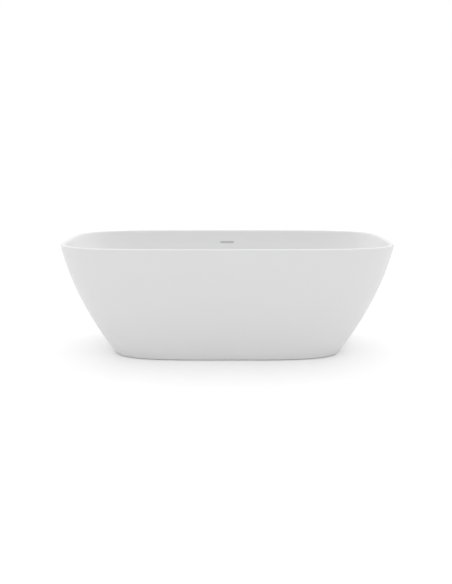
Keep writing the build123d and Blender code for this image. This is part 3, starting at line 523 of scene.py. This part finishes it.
def fall_rings():
    """The floor's smooth fall, from its wide oval down to the round edge at the waste."""
    rings = []
    wide_ring = oval_ring(FALL_HALF_LENGTH, FALL_HALF_WIDTH, 0)
    narrow_ring = oval_ring(FALL_EDGE, FALL_EDGE, 0)
    for share in (0.0, *heights(0.0, 1.0, FALL_STEPS)):
        height = between(FLOOR_TOP, DRAIN_TOP, share * share * (3 - 2 * share))
        spots = [wide.lerp(narrow, share) for wide, narrow in zip(wide_ring, narrow_ring)]
        rings.append([Vector((spot.x, spot.y, height)) for spot in spots])
    return rings


def make_basin_shell():
    """The bathing shell: soft rim, well, floor falling to the waste, and the faces behind them."""
    rim_outer = rounded(
        skirt_ring(RIM_OUTER_LOW),
        skirt_ring(HEIGHT),
        skirt_ring(HEIGHT, RIM_OUTER_TURN),
        steps=5,
    )
    rim_inner = rounded(
        basin_ring(HEIGHT, -RIM_INNER_TURN),
        basin_ring(HEIGHT),
        basin_ring(RIM_INNER_LOW),
        steps=6,
    )
    well = [basin_ring(z) for z in heights(RIM_INNER_LOW, FILLET_TOP, WELL_STEPS)[:-1]]
    low = rounded(
        basin_ring(FILLET_TOP),
        basin_ring(FLOOR_TOP),
        basin_ring(FLOOR_TOP, FILLET_REACH),
        steps=12,
    )
    recess = [oval_ring(RECESS_RADIUS, RECESS_RADIUS, z) for z in (DRAIN_TOP, RECESS_FLOOR)]
    hole = [oval_ring(HOLE_RADIUS, HOLE_RADIUS, z) for z in (RECESS_FLOOR, FLOOR_UNDER)]
    under = rounded(
        basin_ring(FLOOR_UNDER, UNDER_REACH),
        basin_ring(FLOOR_UNDER, -BASIN_WALL),
        basin_ring(UNDER_FILLET_TOP, -BASIN_WALL),
        steps=8,
    )
    upward = heights(UNDER_FILLET_TOP, SKIRT_TOP, WELL_STEPS)
    behind = [basin_ring(z, -BASIN_WALL) for z in upward]
    rings = rim_outer + rim_inner + well + low + fall_rings() + recess + hole + under + behind
    shape = walk_rings(rings + [skirt_ring(SKIRT_TOP)])
    cut_overflow_slot(shape)
    set_piece("basin_shell", shape, satin_acrylic, "tub", "inner_basin")


# The overflow slot's metal


def slot_ring(half_long, half_high, corner, depth):
    """Spots round a slot with rounded corners, at a height over the wall's face."""
    spots = []
    for quarter, (x, y) in enumerate(((1, 1), (-1, 1), (-1, -1), (1, -1))):
        for step in range(6):
            turn = math.radians(90 * (quarter + step / 5))
            spot_x = x * (half_long - corner) + corner * math.cos(turn)
            spot_y = y * (half_high - corner) + corner * math.sin(turn)
            spots.append(Vector((spot_x, spot_y, depth)))
    return spots


# The trim's outlines, from under its lip over the front, down the sleeve and back outside:
# half length, half height, corner radius and height over the wall.
TRIM_OUTLINES = (
    (0.0400, 0.0062, 0.0016, 0.0),
    (0.0400, 0.0062, 0.0016, 0.0005),
    (0.0397, 0.0059, 0.0014, 0.0008),
    (0.0385, 0.0047, 0.0011, 0.0008),
    (0.0382, 0.0044, 0.0010, 0.0005),
    (0.0382, 0.0044, 0.0010, -0.0108),
    (0.0388, 0.0050, 0.0014, -0.0108),
    (0.0388, 0.0050, 0.0014, 0.0),
)
BAFFLE_SIZE = (0.0768, 0.0076, 0.0012)
BAFFLE_DEPTH, BAFFLE_EDGE = 0.0009, 0.0003


def block_shape(shape, size, place=(0, 0, 0)):
    """Add a block of the given size at a place and give its corners."""
    corners = bmesh.ops.create_cube(shape, size=1)["verts"]
    bmesh.ops.scale(shape, verts=corners, vec=size)
    bmesh.ops.translate(shape, verts=corners, vec=place)
    return corners


def soften(shape, corners, offset, segments):
    """Round off the edges between the given corners."""
    edges = list(dict.fromkeys(edge for corner in corners for edge in corner.link_edges))
    bmesh.ops.bevel(
        shape, geom=edges, offset=offset, segments=segments, profile=0.5,
        affect="EDGES", material=-1,
    )


def make_slot_trim():
    """The thin-lipped sleeve in the slot, and the plate set just inside it."""
    shape = walk_rings([slot_ring(*outline) for outline in TRIM_OUTLINES])
    plate = block_shape(shape, BAFFLE_SIZE, (0, 0, -BAFFLE_DEPTH))
    soften(shape, plate, BAFFLE_EDGE, 2)
    bmesh.ops.transform(shape, matrix=SLOT_FRAME, verts=shape.verts)
    set_piece("slot_trim", shape, trim_steel, "tub", "overflow_trim")


# Feet: threaded studs and nuts


THREAD_PITCH = 0.00175
THREAD_CREST, THREAD_ROOT = 0.00594, 0.00512
THREAD_LOW, THREAD_HIGH = 0.0232, 0.1052
# One pitch of the thread's outline: each corner's radius and its share of the pitch.
THREAD_OUTLINE = ((THREAD_ROOT, 0.0), (THREAD_CREST, 0.42), (THREAD_CREST, 0.58))
THREAD_STEPS = 20
THREAD_MERGE = 2e-6
# The stud's plain end in the pad and its turned tip, as (radius, height).
STUD_END = ((0, 0.004), (0.0055, 0.004), (0.0059, 0.0044), (0.0059, 0.0165), (0, 0.0165))
STUD_TIP = ((0, 0.1050), (0.0050, 0.1050), (0.0053, 0.1062), (0.0046, 0.1080), (0, 0.1080))

HEX_FLATS = 0.019
HEX_STEPS = 48
# The round face inside a hexagon's flats, and the slope from it to the corners.
HEX_FACE_SHARE, HEX_CORNER_SLOPE = 0.475, 0.577
# Heights of the hexagons' undersides and tops, and their bores' radii.
STUD_HEX, STUD_HEX_BORE = (0.016, 0.024), 0.0045
WELD_NUT, LOCK_NUT, NUT_BORE = (0.0792, 0.0890), (0.0690, 0.0788), 0.0060


def lathe(shape, profile, steps, x=0.0, y=0.0):
    """Spin a profile of (radius, height) about an upright line at x, y and close its poles."""
    corners = [shape.verts.new((x + radius, y, z)) for radius, z in profile]
    line = [shape.edges.new(pair) for pair in zip(corners, corners[1:])]
    bmesh.ops.spin(
        shape, geom=corners + line, cent=(x, y, 0), axis=(0, 0, 1), angle=math.tau,
        steps=steps, use_merge=True, use_duplicate=False,
    )
    bmesh.ops.remove_doubles(shape, verts=shape.verts, dist=MERGE)


def hex_block(x, y, heights, bore):
    """A hexagon block with a round bore, its corners turned off towards both faces."""
    turns = [math.tau * step / HEX_STEPS for step in range(HEX_STEPS)]
    face = HEX_FLATS * HEX_FACE_SHARE
    rings = []
    for z, inwards in zip(heights, (1, -1)):
        hole, outer, sides = [], [], []
        for turn in turns:
            middle, way = Vector((x, y, z)), Vector((math.cos(turn), math.sin(turn), 0))
            reach = HEX_FLATS / 2 / math.cos(turn % (math.pi / 3) - math.pi / 6)
            drop = Vector((0, 0, inwards * (reach - face) * HEX_CORNER_SLOPE))
            hole.append(middle + way * bore)
            outer.append(middle + way * face)
            sides.append(middle + way * reach + drop)
        rings += [hole, outer, sides] if inwards > 0 else [sides, outer, hole]
    return walk_rings(rings)


def join_shapes(shapes):
    """Put several shapes into one."""
    whole = bmesh.new()
    for shape in shapes:
        part = bpy.data.meshes.new("part")
        shape.to_mesh(part)
        shape.free()
        whole.from_mesh(part)
        bpy.data.meshes.remove(part)
    return whole


def threaded_rod(x, y):
    """The whole thread's outline spun through one turn as it climbs a pitch, ends closed."""
    shape = bmesh.new()
    corners = []
    for turn in range(int((THREAD_HIGH - THREAD_LOW) / THREAD_PITCH) + 1):
        for radius, part in THREAD_OUTLINE:
            z = THREAD_LOW + (turn + part) * THREAD_PITCH
            corners.append(shape.verts.new((x + radius, y, z)))
    line = [shape.edges.new(pair) for pair in zip(corners, corners[1:])]
    bmesh.ops.spin(
        shape, geom=corners + line, cent=(x, y, 0), axis=(0, 0, 1),
        dvec=(0, 0, THREAD_PITCH / THREAD_STEPS), angle=math.tau,
        steps=THREAD_STEPS, use_merge=False, use_duplicate=False,
    )
    bmesh.ops.remove_doubles(shape, verts=shape.verts, dist=THREAD_MERGE)
    ends = [edge for edge in shape.edges if edge.is_boundary]
    caps = bmesh.ops.holes_fill(shape, edges=ends, sides=0)["faces"]
    bmesh.ops.poke(shape, faces=caps)
    return shape


def middle_of(node):
    """The middle of a CAD node's box, seen from above."""
    low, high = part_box(node)
    return (low.x + high.x) / 2, (low.y + high.y) / 2


def make_feet():
    """The six threaded studs with their hexagons, the welded nuts and the lock nuts."""
    weld, lock = [], []
    for number in FEET:
        node = f"foot_stud_{number}"
        x, y = middle_of(node)
        ends = bmesh.new()
        lathe(ends, STUD_END, 24, x, y)
        lathe(ends, STUD_TIP, 24, x, y)
        stud = join_shapes([ends, threaded_rod(x, y), hex_block(x, y, STUD_HEX, STUD_HEX_BORE)])
        name, body = f"threaded_stud_{number}", f"stud_{number}"
        set_piece(name, stud, zinc_steel, body, node, crease=32)
        weld.append(hex_block(x, y, WELD_NUT, NUT_BORE))
        lock.append(hex_block(x, y, LOCK_NUT, NUT_BORE))
    set_piece("hex_weld_nuts", join_shapes(weld), zinc_steel, "tub", "weld_nuts")
    set_piece("hex_lock_nuts", join_shapes(lock), zinc_steel, "tub", "lock_nuts")


# Screws of the frame


def cut_with(shape, cutter):
    """Cut one closed shape out of another."""
    bodies = []
    for solid in (shape, cutter):
        mesh = bpy.data.meshes.new("solid")
        bmesh.ops.recalc_face_normals(solid, faces=solid.faces)
        solid.to_mesh(mesh)
        solid.free()
        body = bpy.data.objects.new("solid", mesh)
        scene.collection.objects.link(body)
        bodies.append(body)
    cut = bodies[0].modifiers.new("cut", "BOOLEAN")
    cut.operation, cut.solver, cut.object = "DIFFERENCE", "EXACT", bodies[1]
    bpy.context.view_layer.update()
    done = bmesh.new()
    done.from_object(bodies[0], bpy.context.evaluated_depsgraph_get())
    for body in bodies:
        mesh = body.data
        bpy.data.objects.remove(body)
        bpy.data.meshes.remove(mesh)
    return done


# A pan head from its pole out to its seat, as (radius, height), with the screw's sizes in metres.
PAN_HEAD = (
    (0, -0.00280), (0.0024, -0.00276), (0.0036, -0.0023), (0.0043, -0.0014),
    (0.0045, -0.0004), (0.0045, 0),
)
HEAD_RADIUS, HEAD_HEIGHT = 0.0045, 0.0028
SHANK_RADIUS, POINT_LENGTH = 0.0023, 0.002
CROSS_BAR = (0.0050, 0.0011, 0.0032)
BOARD_SCREW_LENGTH, BRACKET_SCREW_LENGTH = 0.037, 0.008
# The heights of the screws' seats, and how far in from a bar's or bracket's end they stand.
BAR_UNDERSIDE, BRACKET_UNDERSIDE, TOE_TOP = 0.089, 0.086, 0.0125
LEG_SETBACK, TOE_SETBACK = 0.0115, 0.005
# How much further each screw was driven than the one before it, in radians.
SCREW_TURN = 0.7


def make_screw_pattern(length):
    """A pan-head screw with a cross recess, its head's seat at z = 0 and its shank upward."""
    head = bmesh.new()
    shank = ((SHANK_RADIUS, 0), (SHANK_RADIUS, length - POINT_LENGTH), (0, length))
    lathe(head, PAN_HEAD + shank, 28)
    for turn in (0, 90):
        recess = bmesh.new()
        bar = block_shape(recess, CROSS_BAR, (0, 0, -HEAD_HEIGHT))
        across = Matrix.Rotation(math.radians(turn), 3, "Z")
        bmesh.ops.rotate(recess, verts=bar, cent=(0, 0, 0), matrix=across)
        head = cut_with(head, recess)
    mesh = bpy.data.meshes.new("screw_pattern")
    head.to_mesh(mesh)
    head.free()
    return mesh


def place_screws(name, pattern, spots, stands_for):
    """Copies of a screw pattern, each at its spot, turned a little differently."""
    whole = bmesh.new()
    for number, (x, y, z, downward) in enumerate(spots):
        before = len(whole.verts)
        whole.from_mesh(pattern)
        whole.verts.ensure_lookup_table()
        flip = Matrix.Rotation(math.pi if downward else 0.0, 4, "X")
        turn = Matrix.Rotation(number * SCREW_TURN, 4, "Z")
        place = Matrix.Translation((x, y, z)) @ flip @ turn
        bmesh.ops.transform(whole, matrix=place, verts=whole.verts[before:])
    set_piece(name, whole, zinc_steel, "tub", stands_for, crease=30)


def make_frame_screws():
    """The screws up into the board, up into the bar ends and down into the hem."""
    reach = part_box("board_screws")[1].y - HEAD_RADIUS
    bars = [middle_of(f"support_bar_{side}")[0] for side in ("left", "middle", "right")]
    shares = (-1, -0.5, 0.5, 1)
    spots = [(x, share * reach, BAR_UNDERSIDE, False) for x in bars for share in shares]
    long = make_screw_pattern(BOARD_SCREW_LENGTH)
    place_screws("cross_head_board_screws", long, spots, "board_screws")
    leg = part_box("support_bar_left")[1].y - LEG_SETBACK
    spots = []
    for number in FEET:
        low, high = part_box(f"skirt_bracket_{number}")
        x, side = (low.x + high.x) / 2, math.copysign(1, low.y + high.y)
        toe = max(abs(low.y), abs(high.y)) - TOE_SETBACK
        spots.append((x, side * leg, BRACKET_UNDERSIDE, False))
        spots.append((x, side * toe, TOE_TOP, True))
    short = make_screw_pattern(BRACKET_SCREW_LENGTH)
    place_screws("cross_head_bracket_screws", short, spots, "bracket_screws")
    for pattern in (long, short):
        bpy.data.meshes.remove(pattern)


# Foot pads and hose clamps


# A pad from the middle of its underside, over its edge and neck, and down into its socket.
PAD_PROFILE = (
    (0, 0), (0.0228, 0), (0.0242, 0.0004), (0.0249, 0.0014), (0.0250, 0.0026), (0.0250, 0.0040),
    (0.0247, 0.0050), (0.0238, 0.0058), (0.0134, 0.0102), (0.0123, 0.0110), (0.0120, 0.0120),
    (0.0120, 0.0133), (0.0117, 0.0138), (0.0112, 0.0140), (0.0064, 0.0140), (0.0060, 0.0136),
    (0.0060, 0.00395), (0, 0.00395),
)


def make_foot_pads():
    """The six moulded pads, with soft edges and a socket for the stud."""
    for number in FEET:
        node, body = f"foot_pad_{number}", f"pad_{number}"
        pad = bmesh.new()
        lathe(pad, PAD_PROFILE, 64, *middle_of(node))
        set_piece(f"moulded_pad_{number}", pad, pad_plastic, body, node)


HOSE_RADIUS = 0.013
BAND_THICK, BAND_WIDE, BAND_EDGE = 0.0009, 0.009, 0.0003
WORM_HOUSING, WORM_HOUSING_RISE, WORM_HOUSING_EDGE = (0.0062, 0.0096, 0.0086), 0.0027, 0.0012
# The worm's screw, from the middle of its end to the middle of its head, as (radius, height).
WORM_SCREW = (
    (0, -0.0056), (0.0022, -0.0056), (0.0024, -0.005), (0.0024, 0.0046), (0.0031, 0.0046),
    (0.0031, 0.0056), (0.0028, 0.0059), (0, 0.0059),
)
WORM_RISE, WORM_HEAD_TOP = 0.0034, 0.0059
DRIVER_SLOT = (0.0080, 0.0009, 0.0016)
TOOTH_SIZE, TOOTH_LEAN, TOOTH_STEP, TEETH_EACH_WAY = (0.0003, 0.0007, 0.0050), 12, 8, 9
TOOTH_SUNK = 0.0001
# The clamps' middles: the upper one in the slot's frame, the lower one in the tub's.
UPPER_CLAMP, LOWER_CLAMP = (0, -0.0390, -0.02026), (0, 0.066, 0.113)


def band_shape():
    """The clamp's flat band, with its outer edges turned off."""
    inner, outer, half = HOSE_RADIUS, HOSE_RADIUS + BAND_THICK, BAND_WIDE / 2
    section = [
        (inner, -half), (outer - BAND_EDGE, -half), (outer, -half + BAND_EDGE),
        (outer, half - BAND_EDGE), (outer - BAND_EDGE, half), (inner, half), (inner, -half),
    ]
    band = bmesh.new()
    lathe(band, section, 64)
    return band


def worm_shapes():
    """The clamp's soft-edged housing and the slotted screw that lies in it."""
    outer = HOSE_RADIUS + BAND_THICK
    housing = bmesh.new()
    block = block_shape(housing, WORM_HOUSING, (outer + WORM_HOUSING_RISE, 0, 0))
    soften(housing, block, WORM_HOUSING_EDGE, 3)
    screw, slot = bmesh.new(), bmesh.new()
    lathe(screw, WORM_SCREW, 24)
    block_shape(slot, DRIVER_SLOT, (0, 0, WORM_HEAD_TOP))
    screw = cut_with(screw, slot)
    lying = Matrix.Rotation(math.radians(90), 4, "X")
    stand = Matrix.Translation((outer + WORM_RISE, 0, 0)) @ lying
    bmesh.ops.transform(screw, matrix=stand, verts=screw.verts)
    return [housing, screw]


def band_teeth():
    """The slanted teeth of the band's far side, where the worm has yet to run."""
    teeth = []
    lean = Matrix.Rotation(math.radians(TOOTH_LEAN), 3, "X")
    for step in range(-TEETH_EACH_WAY, TEETH_EACH_WAY + 1):
        tooth = bmesh.new()
        bar = block_shape(tooth, TOOTH_SIZE)
        bmesh.ops.rotate(tooth, verts=bar, cent=(0, 0, 0), matrix=lean)
        bmesh.ops.translate(tooth, verts=bar, vec=(HOSE_RADIUS + BAND_THICK - TOOTH_SUNK, 0, 0))
        place = Matrix.Rotation(math.radians(180 + TOOTH_STEP * step), 3, "Z")
        bmesh.ops.rotate(tooth, verts=bar, cent=(0, 0, 0), matrix=place)
        teeth.append(tooth)
    return teeth


def make_hose_clamps():
    """The worm-drive clamps at the housing's spigot and at the collar's.

    Each is made about the Z axis with its worm on the +X side, and then stood on the hose.
    """
    upright = Matrix.Rotation(math.radians(90), 4, "X")
    lengthways = Matrix(((0, 1, 0, 0), (0, 0, -1, 0), (-1, 0, 0, 0), (0, 0, 0, 1)))
    places = {
        "upper": SLOT_FRAME @ Matrix.Translation(UPPER_CLAMP) @ upright,
        "lower": Matrix.Translation(LOWER_CLAMP) @ lengthways,
    }
    for end, place in places.items():
        shape = join_shapes([band_shape(), *worm_shapes(), *band_teeth()])
        bmesh.ops.transform(shape, matrix=place, verts=shape.verts)
        name, node = f"worm_drive_clamp_{end}", f"hose_clamp_{end}"
        set_piece(name, shape, stainless_steel, "tub", node)


make_skirt_shell()
make_basin_shell()
make_slot_trim()
make_feet()
make_frame_screws()
make_foot_pads()
make_hose_clamps()


# The studio: pale floor, white surroundings, soft light and the camera


FLOOR_SHADE, FLOOR_ROUGHNESS, FLOOR_LIFT = 0.92, 0.9, 0.08
FLOOR_SIZE = 30


def make_floor():
    """A wide plain floor that shades into the white surroundings."""
    shape = bmesh.new()
    bmesh.ops.create_grid(shape, x_segments=1, y_segments=1, size=FLOOR_SIZE)
    mesh = bpy.data.meshes.new("floor")
    shape.to_mesh(mesh)
    shape.free()
    floor = bpy.data.objects.new("floor", mesh)
    scene.collection.objects.link(floor)
    pale = bpy.data.materials.new("pale_floor")
    pale.use_nodes = True
    tree = pale.node_tree
    shader = tree.nodes["Principled BSDF"]
    shader.inputs["Base Color"].default_value = (FLOOR_SHADE, FLOOR_SHADE, FLOOR_SHADE, 1)
    shader.inputs["Roughness"].default_value = FLOOR_ROUGHNESS
    shader.inputs["Specular IOR Level"].default_value = 0.0
    shader.inputs["Emission Color"].default_value = (1, 1, 1, 1)
    seen = tree.nodes.new("ShaderNodeLightPath").outputs["Is Camera Ray"]
    lift = math_node(tree, "MULTIPLY", seen, FLOOR_LIFT)
    tree.links.new(lift, shader.inputs["Emission Strength"])
    mesh.materials.append(pale)


# The surroundings as broad soft lights: where each lies, how tightly it gathers, and its strength.
SOFT_LIGHTS = (
    ((0, 0, 1), 0, 0.11),
    ((0, 0, 1), 1, 0.98),
    ((0, 1, 0), 1, 0.30),
    ((0, 0.707, 0.707), 3, 0.30),
    ((-1, 0, 0), 1, 0.53),
    ((1, 0, 0), 1, 0.57),
)


def make_sky():
    """Surroundings that light the tub unevenly but are seen as plain white."""
    world = bpy.data.worlds.new("studio")
    world.use_nodes = True
    tree = world.node_tree
    place = tree.nodes.new("ShaderNodeTexCoord").outputs["Generated"]
    total = 0.0
    for aim, gather, strength in SOFT_LIGHTS:
        facing = tree.nodes.new("ShaderNodeVectorMath")
        facing.operation = "DOT_PRODUCT"
        tree.links.new(place, facing.inputs[0])
        facing.inputs[1].default_value = aim
        near = math_node(tree, "MAXIMUM", facing.outputs["Value"], 0.0)
        lobe = math_node(tree, "POWER", near, gather)
        total = math_node(tree, "ADD", math_node(tree, "MULTIPLY", lobe, strength), total)
    seen = tree.nodes.new("ShaderNodeLightPath").outputs["Is Camera Ray"]
    brightness = math_node(tree, "MAXIMUM", total, seen)
    tree.links.new(brightness, tree.nodes["Background"].inputs["Strength"])
    tree.nodes["Background"].inputs["Color"].default_value = (1, 1, 1, 1)
    scene.world = world
    scene.view_settings.view_transform = "Standard"


# Where the camera stands: level with the middle of the tub, a little above the rim, tipped down.
CAMERA_PLACE = (-0.0063, -3.133, 1.029)
CAMERA_TIP = 13.32
CAMERA_LENS, CAMERA_SENSOR = 36.39, 36


def make_camera():
    """The camera that the tub is looked at with."""
    lens = bpy.data.cameras.new("camera")
    lens.lens = CAMERA_LENS
    lens.sensor_width = CAMERA_SENSOR
    camera = bpy.data.objects.new("camera", lens)
    camera.location = CAMERA_PLACE
    camera.rotation_euler = (math.radians(90 - CAMERA_TIP), 0, 0)
    scene.collection.objects.link(camera)
    scene.camera = camera


make_floor()
make_sky()
make_camera()
